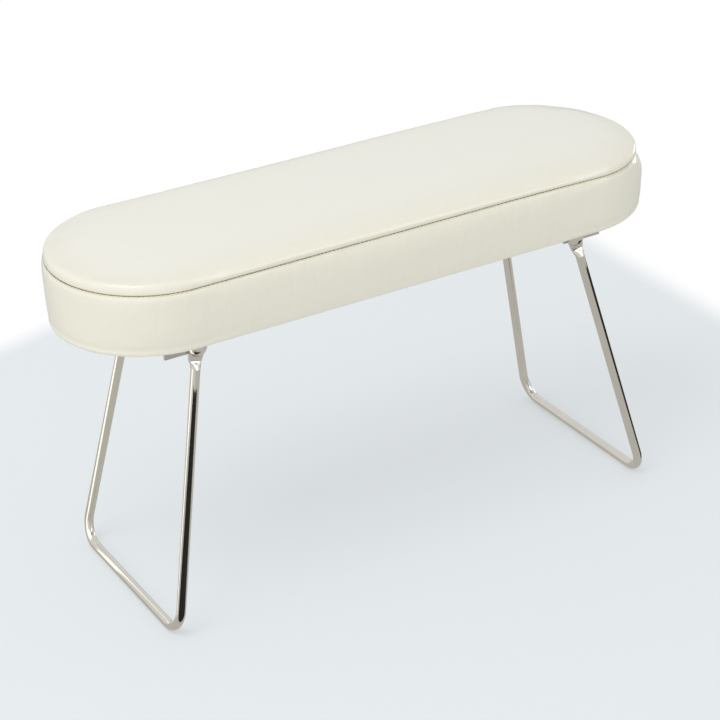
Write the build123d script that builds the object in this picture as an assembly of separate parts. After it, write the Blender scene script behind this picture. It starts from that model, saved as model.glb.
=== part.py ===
from build123d import *
import math
import os

# A padded arm rest that stands on two folding legs of bent wire rod. Millimetres.
# X runs along the pad, Y across it and Z up. The origin is on the table, under the middle.
# The right-hand leg (+X) is drawn once, and the left-hand one is its mirror image.

# Pad: a leather cover sewn from a top panel and a side band, over foam on a plywood board
SEAM_LENGTH = 340.0
SEAM_WIDTH = 109.0
SEAM_HEIGHT = 189.2         # height of the seam above the table
CROWN_RISE = 7.5            # how far the top panel stands above the seam
PAD_BASE = 155.6            # height of the band's folded lower edge
BASE_LENGTH = 338.0         # the band tucks in towards that edge
BASE_WIDTH = 100.6
# the stuffed band from its lower edge up: height above the edge, then how much longer and wider
# the outline is there than at the edge
BAND_SWELL = [(2.5, 1.8, 3.4), (11.0, 3.2, 7.2), (23.6, 4.0, 10.6), (30.6, 3.5, 9.9)]
# the top panel from the seam up: share of the crown's rise, and how far in from the seam it is
CROWN_SECTION = [(0.4, 0.7), (0.72, 1.7), (0.88, 3.6), (0.96, 9.0), (1.0, 24.0)]
LEATHER = 1.0
HEM_WIDTH = 15.0            # how far the band is turned under the board
THREAD = 0.8
THREAD_PROUD = 0.1          # the stitches stand this far out of the seam
THREAD_WIDTH = 0.9
BOARD_THICKNESS = 9.0
BOARD_INSET = 0.2           # slack between the board's edge and the leather
LINING = 0.6                # cloth that covers the underside
LINING_INSET = 7.0          # from the band's lower edge to the cloth's edge
STAPLE_COUNT = 24
STAPLE_CROWN = 10.0
STAPLE_WIRE = 0.6
STAPLE_LEG = 7.0

# Legs: one bent rod each, with flattened ends that turn on rivets
ROD_DIAMETER = 5.0
BEND_RADIUS = 12.0          # of the rod's centre line, at the feet
FOOT_X = 145.9              # the foot bar's centre line
FOOT_HALF_WIDTH = 58.7      # to the corner where the bar and a post would meet
PIVOT_X = 113.4
PIVOT_HEIGHT = 149.5
SHOULDER = 11.3             # along the leg, from the pivot to the end of the round rod
SHOULDER_HALF_WIDTH = 39.0  # the post's centre line at the shoulder, across the pad
PADDLE_THICKNESS = 2.1
PADDLE_RADIUS = 4.65
PADDLE_NECK = 7.4           # along the leg, from the pivot to where the flattening is full
PADDLE_NECK_WIDTH = 6.4
HEEL_REACH = 5.6            # the paddle's square corner, which rests on the bracket's ear
HEEL_GAP = 0.05

# Brackets: a pressed steel channel under each end of the pad
SHEET = 1.5
FLANGE_HALF_SPAN = 36.1     # to the outer face of the flange that carries the leg
FLANGE_BOTTOM = 146.2
FLANGE_LOBE = 4.5
BRACKET_INNER_END = 6.0     # from the pivot towards the middle of the pad
BRACKET_OUTER_END = 17.1    # from the pivot towards the end of the pad
BEND_OUTSIDE = 2.0
EAR_START = 2.8             # the stop ears, from the pivot outwards
EAR_LENGTH = 5.4
EAR_REACH = 39.0

# Rivets and washers
RIVET_RADIUS = 2.0
RIVET_CLEARANCE = 0.05      # radial, in the paddle's hole
HEAD_RADIUS = 4.6
HEAD_HEIGHT = 2.9
TAIL_RADIUS = 3.3
TAIL_HEIGHT = 1.3
FACE_GAP = 0.1              # between the turning paddle and what lies beside it
WASHER_RADIUS = 4.9
WASHER_THICKNESS = 0.6
WASHER_BORE = 2.1

# Wood screws, four to a bracket
SCREW_RADIUS = 1.75
SCREW_CLEARANCE = 0.2       # radial, in the plate's holes
SCREW_POINT_RADIUS = 0.3
SCREW_LENGTH = 9.0
SCREW_TIP = 3.0
SCREW_HEAD_RADIUS = 3.2
SCREW_HEAD_HEIGHT = 2.1
SCREW_SPACING_X = 11.0
SCREW_SPACING_Y = 44.0
RECESS_WIDTH = 0.9
RECESS_LENGTH = 3.6
RECESS_DEPTH = 1.1

# Worked out from the above
CROWN_HEIGHT = SEAM_HEIGHT + CROWN_RISE
BOARD_BASE = PAD_BASE + LEATHER
PLATE_TOP = PAD_BASE - LINING
PLATE_BOTTOM = PLATE_TOP - SHEET
FOOT_HEIGHT = ROD_DIAMETER / 2
LEG_LENGTH = math.hypot(FOOT_X - PIVOT_X, PIVOT_HEIGHT - FOOT_HEIGHT)
SPLAY = math.atan2(FOOT_X - PIVOT_X, PIVOT_HEIGHT - FOOT_HEIGHT)
LEG_DOWN = Vector(math.sin(SPLAY), 0, -math.cos(SPLAY))
LEG_ACROSS = Vector(math.cos(SPLAY), 0, math.sin(SPLAY))
PIVOT = Vector(PIVOT_X, 0, PIVOT_HEIGHT)
BRACKET_LENGTH = BRACKET_INNER_END + BRACKET_OUTER_END
BRACKET_MIDDLE = PIVOT_X + (BRACKET_OUTER_END - BRACKET_INNER_END) / 2
PADDLE_INSIDE = FLANGE_HALF_SPAN + FACE_GAP
PADDLE_OUTSIDE = PADDLE_INSIDE + PADDLE_THICKNESS
WASHER_INSIDE = PADDLE_OUTSIDE + FACE_GAP
HEAD_INSIDE = WASHER_INSIDE + WASHER_THICKNESS


def oval(length, width, height):
    """A flat face with straight sides and half-round ends, at a height."""
    return Pos(0, 0, height) * SlotOverall(length, width)


def oval_block(length, width, low, high):
    """An upright block on that outline."""
    return extrude(oval(length, width, low), amount=high - low)


def cushion(skin):
    """The stuffed pad's whole shape, drawn in all round by a skin thickness."""
    levels = [(PAD_BASE + skin, BASE_LENGTH, BASE_WIDTH)]
    for rise, longer, wider in BAND_SWELL:
        levels.append((PAD_BASE + rise, BASE_LENGTH + longer, BASE_WIDTH + wider))
    levels.append((SEAM_HEIGHT, SEAM_LENGTH, SEAM_WIDTH))
    for share, inset in CROWN_SECTION:
        height = SEAM_HEIGHT + CROWN_RISE * share - skin
        levels.append((height, SEAM_LENGTH - 2 * inset, SEAM_WIDTH - 2 * inset))
    rings = [oval(length - 2 * skin, width - 2 * skin, z) for z, length, width in levels]
    return loft(rings, ruled=True)


def seam_thread():
    """The line of stitching between the top panel and the band."""
    low = SEAM_HEIGHT - THREAD / 2
    grow = 2 * THREAD_PROUD
    draw = 2 * (THREAD_WIDTH - THREAD_PROUD)
    outer = oval_block(SEAM_LENGTH + grow, SEAM_WIDTH + grow, low, low + THREAD)
    return outer - oval_block(SEAM_LENGTH - draw, SEAM_WIDTH - draw, low, low + THREAD)


def covers():
    """Top panel and side band: the cushion's skin, parted at the seam."""
    skin = cushion(0) - cushion(LEATHER) - seam_thread()
    above = oval_block(2 * SEAM_LENGTH, 2 * SEAM_WIDTH, SEAM_HEIGHT, 2 * CROWN_HEIGHT)
    window = oval_block(
        BASE_LENGTH - 2 * HEM_WIDTH, BASE_WIDTH - 2 * HEM_WIDTH, PAD_BASE - 1, BOARD_BASE + 1
    )
    return skin & above, skin - above - window


def base_board():
    """Plywood board that the foam is glued to."""
    inset = 2 * (LEATHER + BOARD_INSET)
    return oval_block(
        BASE_LENGTH - inset, BASE_WIDTH - inset, BOARD_BASE, BOARD_BASE + BOARD_THICKNESS
    )


def foam_core():
    """Foam that fills the cover, down over the board's edge."""
    return cushion(LEATHER) - base_board() - seam_thread()


def bottom_cover():
    """Cloth under the board, stepping down to lap over the turned-in leather."""
    hem_length = BASE_LENGTH - 2 * HEM_WIDTH
    hem_width = BASE_WIDTH - 2 * HEM_WIDTH
    plug = oval_block(hem_length, hem_width, PLATE_TOP, BOARD_BASE)
    step = 2 * LINING
    hollow = oval_block(hem_length - step, hem_width - step, PLATE_TOP, BOARD_BASE - LINING)
    lap = oval_block(
        BASE_LENGTH - 2 * LINING_INSET, BASE_WIDTH - 2 * LINING_INSET, PLATE_TOP, PAD_BASE
    )
    pads = Part() + [bracket_footprint(side) for side in (-1, 1)]
    return plug + lap - hollow + pads


def bracket_footprint(side):
    """Where a bracket's screws squeeze the cloth flat against the board."""
    thickness = BOARD_BASE - PLATE_TOP
    width = BASE_WIDTH - 2 * HEM_WIDTH
    place = Pos(side * BRACKET_MIDDLE, 0, PLATE_TOP + thickness / 2)
    patch = place * Box(BRACKET_LENGTH, width, thickness)
    return patch & oval_block(BASE_LENGTH - 2 * HEM_WIDTH, width, PLATE_TOP, BOARD_BASE)


def hem_staples():
    """Staples through the cloth and the leather hem, evenly round the board."""
    crown = Box(STAPLE_CROWN, STAPLE_WIRE, STAPLE_WIRE)
    leg = Box(STAPLE_WIRE, STAPLE_WIRE, STAPLE_LEG)
    leg_x = (STAPLE_CROWN - STAPLE_WIRE) / 2
    leg_z = (STAPLE_LEG - STAPLE_WIRE) / 2
    staple = crown + [Pos(side * leg_x, 0, leg_z) * leg for side in (-1, 1)]
    inset = LINING_INSET + HEM_WIDTH / 4
    height = PLATE_TOP - STAPLE_WIRE / 2
    line = oval(BASE_LENGTH - 2 * inset, BASE_WIDTH - 2 * inset, height).face().outer_wire()
    staples = []
    for index in range(STAPLE_COUNT):
        place = (index + 0.5) / STAPLE_COUNT
        along = line.tangent_at(place)
        turn = math.degrees(math.atan2(along.Y, along.X))
        staples.append(Pos(line.position_at(place)) * Rot(Z=turn) * staple)
    return Compound(staples)


def leg():
    """The right-hand leg: a bent rod whose two ends are pressed flat and drilled."""
    plane = Plane(origin=PIVOT, x_dir=(0, 1, 0), z_dir=Vector(0, 1, 0).cross(LEG_DOWN))
    corners = [
        (SHOULDER_HALF_WIDTH, SHOULDER),
        (FOOT_HALF_WIDTH, LEG_LENGTH),
        (-FOOT_HALF_WIDTH, LEG_LENGTH),
        (-SHOULDER_HALF_WIDTH, SHOULDER),
    ]
    path = plane * FilletPolyline(*corners, radius=BEND_RADIUS)
    end = Plane(origin=path @ 0, z_dir=path % 0)
    rod = sweep(end * Circle(ROD_DIAMETER / 2), path=path)
    back_paddle = paddle(end)
    front_paddle = mirror(back_paddle, about=Plane.XZ)
    return rod + back_paddle + front_paddle


def paddle(rod_end):
    """The flattened end of a post on the +Y side, with its swelling, heel and rivet hole."""
    side = Plane(origin=PIVOT, x_dir=LEG_ACROSS, z_dir=(0, -1, 0)).offset(-PADDLE_OUTSIDE)
    neck = PADDLE_NECK_WIDTH / 2
    taper = [(-neck, -PADDLE_NECK), (neck, -PADDLE_NECK), (PADDLE_RADIUS, 0), (-PADDLE_RADIUS, 0)]
    outline = Circle(PADDLE_RADIUS) + Polygon(*taper, align=None)
    blade = extrude(side * outline, amount=PADDLE_THICKNESS)

    heel_height = PLATE_BOTTOM - HEEL_GAP - PIVOT_HEIGHT
    heel_place = Pos(
        PIVOT_X + HEEL_REACH / 2,
        PADDLE_INSIDE + PADDLE_THICKNESS / 2,
        PIVOT_HEIGHT + heel_height / 2,
    )
    heel = heel_place * Box(HEEL_REACH, PADDLE_THICKNESS, heel_height)

    neck_centre = PIVOT + LEG_DOWN * PADDLE_NECK + Vector(0, PADDLE_INSIDE + PADDLE_THICKNESS / 2, 0)
    neck_plane = Plane(origin=neck_centre, x_dir=LEG_ACROSS, z_dir=LEG_DOWN)
    neck_face = neck_plane * Rectangle(PADDLE_NECK_WIDTH, PADDLE_THICKNESS)
    rod_face = rod_end * Circle(ROD_DIAMETER / 2)
    swelling = loft([neck_face, rod_face])
    drill = Cylinder(RIVET_RADIUS + RIVET_CLEARANCE, 4 * PADDLE_THICKNESS)
    return blade + heel + swelling - across_pivot(drill, PADDLE_INSIDE)


def across_pivot(shape, distance):
    """Turn a shape made along Z to point out along +Y from the pivot axis."""
    return Pos(PIVOT_X, distance, PIVOT_HEIGHT) * Rot(X=-90) * shape


def bracket():
    """The right-hand channel: a plate, two flanges that carry the leg, and two stop ears."""
    depth = PLATE_TOP - FLANGE_BOTTOM
    width = 2 * FLANGE_HALF_SPAN
    outer = Pos(BRACKET_MIDDLE, 0, PLATE_TOP - depth / 2) * Box(BRACKET_LENGTH, width, depth)
    folds = outer.edges().filter_by(Axis.X).group_by(Axis.Z)[-1]
    outer = fillet(folds, radius=BEND_OUTSIDE)
    inner_width = width - 2 * SHEET
    hollow = Pos(BRACKET_MIDDLE, 0, PLATE_BOTTOM - depth / 2) * Box(BRACKET_LENGTH, inner_width, depth)
    channel = outer - hollow
    flange_centre = FLANGE_HALF_SPAN - SHEET / 2
    ear_width = EAR_REACH - inner_width / 2
    for side in (-1, 1):
        channel += across_pivot(Cylinder(FLANGE_LOBE, SHEET), side * flange_centre)
        ear_x = PIVOT_X + EAR_START + EAR_LENGTH / 2
        ear_y = side * (EAR_REACH - ear_width / 2)
        channel += Pos(ear_x, ear_y, PLATE_TOP - SHEET / 2) * Box(EAR_LENGTH, ear_width, SHEET)
    channel -= across_pivot(Cylinder(RIVET_RADIUS, 4 * FLANGE_HALF_SPAN), 0)
    for place in screw_places():
        channel -= place * Cylinder(SCREW_RADIUS + SCREW_CLEARANCE, 4 * SHEET)
    return channel


def screw_places():
    """Screw axes on the right-hand bracket, at its plate's lower face."""
    spots = GridLocations(SCREW_SPACING_X, SCREW_SPACING_Y, 2, 2)
    return [Pos(BRACKET_MIDDLE, 0, PLATE_BOTTOM) * spot for spot in spots]


def wood_screw():
    """Pan-head wood screw with a cross recess, pointing up from the plate's lower face."""
    head = Pos(0, 0, -SCREW_HEAD_HEIGHT / 2) * Cylinder(SCREW_HEAD_RADIUS, SCREW_HEAD_HEIGHT)
    head = fillet(head.edges().group_by(Axis.Z)[0], radius=SCREW_HEAD_HEIGHT / 2)
    slot = Box(RECESS_LENGTH, RECESS_WIDTH, 2 * RECESS_DEPTH)
    recess = Pos(0, 0, -SCREW_HEAD_HEIGHT) * (slot + Rot(Z=90) * slot)
    straight = SCREW_LENGTH - SCREW_TIP
    shank = Pos(0, 0, straight / 2) * Cylinder(SCREW_RADIUS, straight)
    tip = Pos(0, 0, straight + SCREW_TIP / 2) * Cone(SCREW_RADIUS, SCREW_POINT_RADIUS, SCREW_TIP)
    return head - recess + shank + tip


def rivet():
    """The +Y rivet of the right-hand leg: a domed head outside and a formed tail inside."""
    inner_face = FLANGE_HALF_SPAN - SHEET
    shank_length = HEAD_INSIDE - inner_face
    shank = Pos(0, 0, shank_length / 2) * Cylinder(RIVET_RADIUS, shank_length)
    tail = Pos(0, 0, -TAIL_HEIGHT / 2) * Cylinder(TAIL_RADIUS, TAIL_HEIGHT)
    tail = fillet(tail.edges().group_by(Axis.Z)[0], radius=TAIL_HEIGHT / 3)
    dome_radius = (HEAD_RADIUS**2 + HEAD_HEIGHT**2) / (2 * HEAD_HEIGHT)
    dome = Pos(0, 0, shank_length + HEAD_HEIGHT - dome_radius) * Sphere(dome_radius)
    cap = Pos(0, 0, shank_length + HEAD_HEIGHT / 2) * Cylinder(HEAD_RADIUS, HEAD_HEIGHT)
    return across_pivot(shank + tail + (dome & cap), inner_face)


def washer():
    """The +Y washer of the right-hand leg, between the paddle and the rivet's head."""
    ring = Cylinder(WASHER_RADIUS, WASHER_THICKNESS) - Cylinder(WASHER_BORE, WASHER_THICKNESS)
    return across_pivot(ring, WASHER_INSIDE + WASHER_THICKNESS / 2)


def on_side(shape, side):
    """The right-hand shape as drawn, or mirrored to the left-hand end."""
    return shape if side == "right" else mirror(shape, about=Plane.YZ)


def in_row(shape, row):
    """The back (+Y) shape as drawn, or mirrored to the front."""
    return shape if row == "back" else mirror(shape, about=Plane.XZ)


def build():
    """Every node of the arm rest, by name."""
    top_panel, side_band = covers()
    nodes = {
        "top_panel": top_panel,
        "side_band": side_band,
        "seam_thread": seam_thread(),
        "foam_core": foam_core(),
        "base_board": base_board(),
        "bottom_cover": bottom_cover(),
        "hem_staples": hem_staples(),
    }
    screws = Compound([place * wood_screw() for place in screw_places()])
    for side in ("left", "right"):
        nodes[f"leg_{side}"] = on_side(leg(), side)
        nodes[f"bracket_{side}"] = on_side(bracket(), side)
        nodes[f"bracket_screws_{side}"] = on_side(screws, side)
        for row in ("front", "back"):
            nodes[f"pivot_rivet_{side}_{row}"] = on_side(in_row(rivet(), row), side)
            nodes[f"pivot_washer_{side}_{row}"] = on_side(in_row(washer(), row), side)
    return nodes


os.makedirs("parts", exist_ok=True)
for name, shape in build().items():
    export_step(shape, f"parts/{name}.step")
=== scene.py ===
"""Looks of a folding arm rest: a stuffed leather pad on two folding legs of plated wire rod.

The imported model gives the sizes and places. This script dresses its metal and its board,
replaces its plain cushion and lining solids with stuffed leather, stitches and stapled cloth, and
stands the rest in a plain studio.
"""

import logging
import math
from dataclasses import dataclass, field, fields
from enum import Enum

import bmesh
import bpy
from mathutils import Matrix, Vector, noise


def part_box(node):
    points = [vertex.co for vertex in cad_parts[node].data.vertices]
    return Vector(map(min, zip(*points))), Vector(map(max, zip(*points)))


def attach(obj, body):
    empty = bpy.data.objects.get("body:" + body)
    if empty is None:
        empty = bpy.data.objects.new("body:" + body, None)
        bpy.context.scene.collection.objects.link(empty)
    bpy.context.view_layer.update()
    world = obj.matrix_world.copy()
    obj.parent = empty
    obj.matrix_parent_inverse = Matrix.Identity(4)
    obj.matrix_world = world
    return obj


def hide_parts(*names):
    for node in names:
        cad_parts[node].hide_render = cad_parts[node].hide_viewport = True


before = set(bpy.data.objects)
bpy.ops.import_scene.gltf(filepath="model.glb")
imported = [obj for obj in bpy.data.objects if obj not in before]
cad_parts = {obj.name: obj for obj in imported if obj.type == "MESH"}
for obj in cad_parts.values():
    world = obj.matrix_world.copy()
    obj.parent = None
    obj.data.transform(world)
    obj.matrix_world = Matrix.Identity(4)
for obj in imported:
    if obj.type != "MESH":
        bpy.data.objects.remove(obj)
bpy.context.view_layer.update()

LOG = logging.getLogger("arm_rest")
MM = 0.001
PAD_BODY = "pad"

Colour = tuple[float, float, float]


class Side(Enum):
    """The two ends of the rest."""

    LEFT = "left"
    RIGHT = "right"

    @property
    def sign(self) -> int:
        """Which way it lies along X."""
        return 1 if self is Side.RIGHT else -1


class Row(Enum):
    """The two rows of pivots."""

    FRONT = "front"
    BACK = "back"

    @property
    def sign(self) -> int:
        """Which way it lies along Y."""
        return 1 if self is Row.BACK else -1


# --------------------------------------------------------------------------------------------
# Modelling helpers


def limited(value: float) -> float:
    """Holds a value between 0 and 1."""
    return min(max(value, 0.0), 1.0)


def eased(value: float) -> float:
    """A smooth step from 0 to 1."""
    value = limited(value)
    return value * value * (3 - 2 * value)


def fading(distance: float, reach: float) -> float:
    """A share that falls smoothly from 1, to about a third at the reach."""
    return math.exp(-((distance / reach) ** 2))


def ripple(first: float, second: float, grain: tuple[float, float], seed: float) -> float:
    """Smooth noise over a surface.

    Args:
        first: Place one way along the surface.
        second: Place the other way.
        grain: Length of the ripples each way.
        seed: Which of the noise's layers to read.

    Returns:
        The noise there, between about -1 and 1.
    """
    return noise.noise(Vector((first / grain[0], second / grain[1], seed)))


class Bench:
    """The few steps that every piece goes through."""

    @staticmethod
    def pick(piece: bpy.types.Object) -> None:
        """Makes a piece the only selected and active object."""
        if bpy.context.object and bpy.context.object.mode != "OBJECT":
            bpy.ops.object.mode_set(mode="OBJECT")
        bpy.ops.object.select_all(action="DESELECT")
        piece.select_set(True)
        bpy.context.view_layer.objects.active = piece

    @staticmethod
    def add_mesh(name: str, mesh: bpy.types.Mesh) -> bpy.types.Object:
        """Puts a mesh in the scene as a new piece.

        Args:
            name: The piece's name.
            mesh: Its mesh, in the rest's own frame.

        Returns:
            The new object, at the origin.
        """
        mesh.name = name
        piece = bpy.data.objects.new(name, mesh)
        bpy.context.scene.collection.objects.link(piece)
        return piece

    @staticmethod
    def add_net(name: str, net: bmesh.types.BMesh) -> bpy.types.Object:
        """Turns a finished net into a new piece, and frees it.

        Args:
            name: The piece's name.
            net: The net.

        Returns:
            The new object, at the origin.
        """
        mesh = bpy.data.meshes.new(name)
        net.to_mesh(mesh)
        net.free()
        return Bench.add_mesh(name, mesh)

    @staticmethod
    def thicken(piece: bpy.types.Object, thickness: float, offset: float) -> None:
        """Adds a wall to a sheet: offset -1 lies under its face, 0 half on each side."""
        wall = piece.modifiers.new("thickness", "SOLIDIFY")
        wall.thickness = thickness
        wall.offset = offset

    @staticmethod
    def bake_modifiers(piece: bpy.types.Object) -> None:
        """Applies every modifier on a piece, in order."""
        Bench.pick(piece)
        for modifier in list(piece.modifiers):
            bpy.ops.object.modifier_apply(modifier=modifier.name)

    @staticmethod
    def smooth(piece: bpy.types.Object, degrees: float = 180.0) -> None:
        """Shades a piece smooth across every edge flatter than an angle."""
        Bench.pick(piece)
        bpy.ops.object.shade_smooth_by_angle(angle=math.radians(degrees))

    @staticmethod
    def dress(piece: bpy.types.Object, material: bpy.types.Material) -> None:
        """Gives a piece one material all over."""
        piece.data.materials.clear()
        piece.data.materials.append(material)

    @staticmethod
    def stand_for(piece: bpy.types.Object, node: str, slot: str) -> None:
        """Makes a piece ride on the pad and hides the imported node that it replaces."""
        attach(piece, PAD_BODY)
        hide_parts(node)


# --------------------------------------------------------------------------------------------
# Shader building


class Recipe:
    """A node tree under construction, with short ways to add and join its nodes."""

    def __init__(self, tree: bpy.types.NodeTree) -> None:
        """Args:
            tree: The material's or group's node tree.
        """
        self.tree = tree

    def add(self, kind: str, **settings: object) -> bpy.types.Node:
        """Adds a node and sets its properties.

        Args:
            kind: The node's type name, without the common prefix.
            settings: Properties of the node.

        Returns:
            The node.
        """
        node = self.tree.nodes.new("ShaderNode" + kind)
        for name, value in settings.items():
            setattr(node, name, value)
        return node

    def join(self, source: bpy.types.NodeSocket, target: bpy.types.NodeSocket) -> None:
        """Links one socket to another."""
        self.tree.links.new(source, target)

    def math(self, operation: str, first: object, second: object = 0.0) -> bpy.types.NodeSocket:
        """Adds a maths node.

        Args:
            operation: Which sum to do.
            first: A socket or a number.
            second: A socket or a number.

        Returns:
            The result's socket.
        """
        node = self.add("Math", operation=operation)
        for slot, value in zip(node.inputs, (first, second)):
            self.feed(slot, value)
        return node.outputs[0]

    def feed(self, slot: bpy.types.NodeSocket, value: object) -> None:
        """Sets a socket to a value or links a socket to it."""
        if isinstance(value, bpy.types.NodeSocket):
            self.join(value, slot)
        else:
            slot.default_value = value

    def put(self, node: bpy.types.Node, values: dict[str, object]) -> bpy.types.Node:
        """Sets or links several of a node's inputs.

        Args:
            node: The node.
            values: Input name to its value, or to the socket that feeds it.

        Returns:
            The same node.
        """
        for name, value in values.items():
            self.feed(node.inputs[name], value)
        return node

    def group(self, tree: bpy.types.NodeTree, values: dict[str, object]) -> bpy.types.Node:
        """Places a shared group with its own values."""
        return self.put(self.add("Group", node_tree=tree), values)

    def spread(self, value: bpy.types.NodeSocket, low: float, high: float) -> bpy.types.NodeSocket:
        """Stretches a value from 0..1 to low..high."""
        node = self.put(self.add("MapRange"), {"Value": value, "To Min": low, "To Max": high})
        return node.outputs["Result"]

    def blend(self, share: object, first: object, second: object) -> bpy.types.NodeSocket:
        """Mixes two colours by a share from 0 to 1."""
        node = self.add("Mix", data_type="RGBA")
        for name, value in (("Factor", share), ("A", first), ("B", second)):
            slot = next(s for s in node.inputs if s.name == name and s.enabled)
            self.feed(slot, value)
        return next(s for s in node.outputs if s.enabled)

    def place(self, scale: object = (1, 1, 1)) -> bpy.types.NodeSocket:
        """Object coordinates, stretched by a factor on each axis."""
        where = self.add("TexCoord").outputs["Object"]
        return self.put(self.add("Mapping"), {"Vector": where, "Scale": scale}).outputs["Vector"]

    def noise(
        self, vector: bpy.types.NodeSocket, scale: object = 1.0, detail: float = 2.0
    ) -> bpy.types.NodeSocket:
        """A noise value at some points."""
        node = self.put(self.add("TexNoise"), {"Vector": vector, "Scale": scale, "Detail": detail})
        return node.outputs["Fac"]

    def glow(self, colour: Colour) -> bpy.types.NodeSocket:
        """A shader that gives its own light."""
        return self.put(self.add("Emission"), {"Color": (*colour, 1), "Strength": 1.0}).outputs[0]

    def mixed(self, share: bpy.types.NodeSocket, first: object, second: object) -> bpy.types.NodeSocket:
        """Mixes two shaders by a share from 0 to 1."""
        mixer = self.add("MixShader")
        for slot, value in zip(mixer.inputs, (share, first, second)):
            self.join(value, slot)
        return mixer.outputs[0]

    def surface(self, shader: bpy.types.NodeSocket) -> None:
        """Joins a shader to the output of a material or of the world."""
        out = next(n for n in self.tree.nodes if n.type in ("OUTPUT_MATERIAL", "OUTPUT_WORLD"))
        self.join(shader, out.inputs["Surface"])


class SharedGroups:
    """Node groups that several finishes place with their own values."""

    def __init__(self) -> None:
        """Builds each group once."""
        self.uneven_tone = self._uneven_tone()
        self.pebble = self._pebble()
        self.drawn_lines = self._drawn_lines()

    @staticmethod
    def _open(
        name: str, inputs: dict[str, tuple[str, object]], outputs: dict[str, str]
    ) -> tuple[Recipe, bpy.types.Node, bpy.types.Node]:
        """Opens a group with named sockets.

        Args:
            name: The group's name.
            inputs: Socket name to its kind and default.
            outputs: Socket name to its kind.

        Returns:
            The group's recipe, its input node and its output node.
        """
        group = bpy.data.node_groups.new(name, "ShaderNodeTree")
        for label, (kind, default) in inputs.items():
            socket = group.interface.new_socket(label, in_out="INPUT", socket_type="NodeSocket" + kind)
            socket.default_value = default
        for label, kind in outputs.items():
            group.interface.new_socket(label, in_out="OUTPUT", socket_type="NodeSocket" + kind)
        return Recipe(group), group.nodes.new("NodeGroupInput"), group.nodes.new("NodeGroupOutput")

    def _uneven_tone(self) -> bpy.types.NodeTree:
        """Slow changes of tone across a surface, as any dyed or plated material has."""
        inputs = {
            "Colour": ("Color", (0.8, 0.8, 0.8, 1)),
            "Shade": ("Color", (0.6, 0.6, 0.6, 1)),
            "Amount": ("Float", 0.5),
            "Scale": ("Float", 20.0),
        }
        recipe, start, end = self._open("uneven_tone", inputs, {"Colour": "Color", "Mask": "Float"})
        cloud = recipe.noise(recipe.place(), start.outputs["Scale"], 3.0)
        mask = recipe.math("MULTIPLY", cloud, start.outputs["Amount"])
        colour = recipe.blend(mask, start.outputs["Colour"], start.outputs["Shade"])
        recipe.put(end, {"Colour": colour, "Mask": cloud})
        return recipe.tree

    def _pebble(self) -> bpy.types.NodeTree:
        """Rounded cells with creases between them: leather grain, foam cells, pressed felt."""
        inputs = {"Scale": ("Float", 900.0), "Crease": ("Float", 0.5)}
        recipe, start, end = self._open("pebble", inputs, {"Height": "Float"})
        where = recipe.place()
        scale = start.outputs["Scale"]
        cells = recipe.put(recipe.add("TexVoronoi", feature="SMOOTH_F1"), {"Vector": where, "Scale": scale})
        round_top = recipe.math("SUBTRACT", 1.0, cells.outputs["Distance"])
        crease = recipe.math("MULTIPLY", recipe.noise(where, scale), start.outputs["Crease"])
        recipe.put(end, {"Height": recipe.math("ADD", round_top, crease)})
        return recipe.tree

    def _drawn_lines(self) -> bpy.types.NodeTree:
        """Faint lines along a drawn rod or a rolled sheet, under the plating."""
        inputs = {"Along": ("Vector", (1200.0, 1200.0, 30.0))}
        recipe, start, end = self._open("drawn_lines", inputs, {"Height": "Float"})
        recipe.put(end, {"Height": recipe.noise(recipe.place(start.outputs["Along"]), detail=3.0)})
        return recipe.tree


@dataclass(frozen=True)
class Finish:
    """What every finish has: a name, a colour and a roughness."""

    name: str
    colour: Colour
    roughness: float

    def start(self) -> tuple[bpy.types.Material, Recipe, bpy.types.Node]:
        """Opens a new material.

        Returns:
            The material, its recipe and its surface shader.
        """
        material = bpy.data.materials.new(self.name)
        material.use_nodes = True
        recipe = Recipe(material.node_tree)
        shader = material.node_tree.nodes["Principled BSDF"]
        recipe.put(shader, {"Base Color": (*self.colour, 1), "Roughness": self.roughness})
        return material, recipe, shader

    def toned(
        self, recipe: Recipe, groups: SharedGroups, shade: Colour, amount: float, scale: float
    ) -> bpy.types.Node:
        """Places the uneven tone group with this finish's colour.

        Args:
            recipe: The material's recipe.
            groups: The shared groups.
            shade: The second colour.
            amount: How much of it shows.
            scale: The size of the clouds, per metre.

        Returns:
            The group's node.
        """
        values = {"Colour": (*self.colour, 1), "Shade": (*shade, 1), "Amount": amount, "Scale": scale}
        return recipe.group(groups.uneven_tone, values)

    def darker(self, share: float) -> Colour:
        """The finish's colour, times a share."""
        return tuple(share * c for c in self.colour)

    @staticmethod
    def bump(
        recipe: Recipe, shader: bpy.types.Node, layers: list[tuple[bpy.types.NodeSocket, float]]
    ) -> None:
        """Stacks bump layers onto a shader.

        Args:
            recipe: The material's recipe.
            shader: The surface shader.
            layers: Each layer's height and its depth in metres.
        """
        normal = None
        for height, depth in layers:
            node = recipe.put(recipe.add("Bump"), {"Strength": 1.0, "Distance": depth, "Height": height})
            if normal is not None:
                recipe.join(normal, node.inputs["Normal"])
            normal = node.outputs["Normal"]
        recipe.join(normal, shader.inputs["Normal"])


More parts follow.
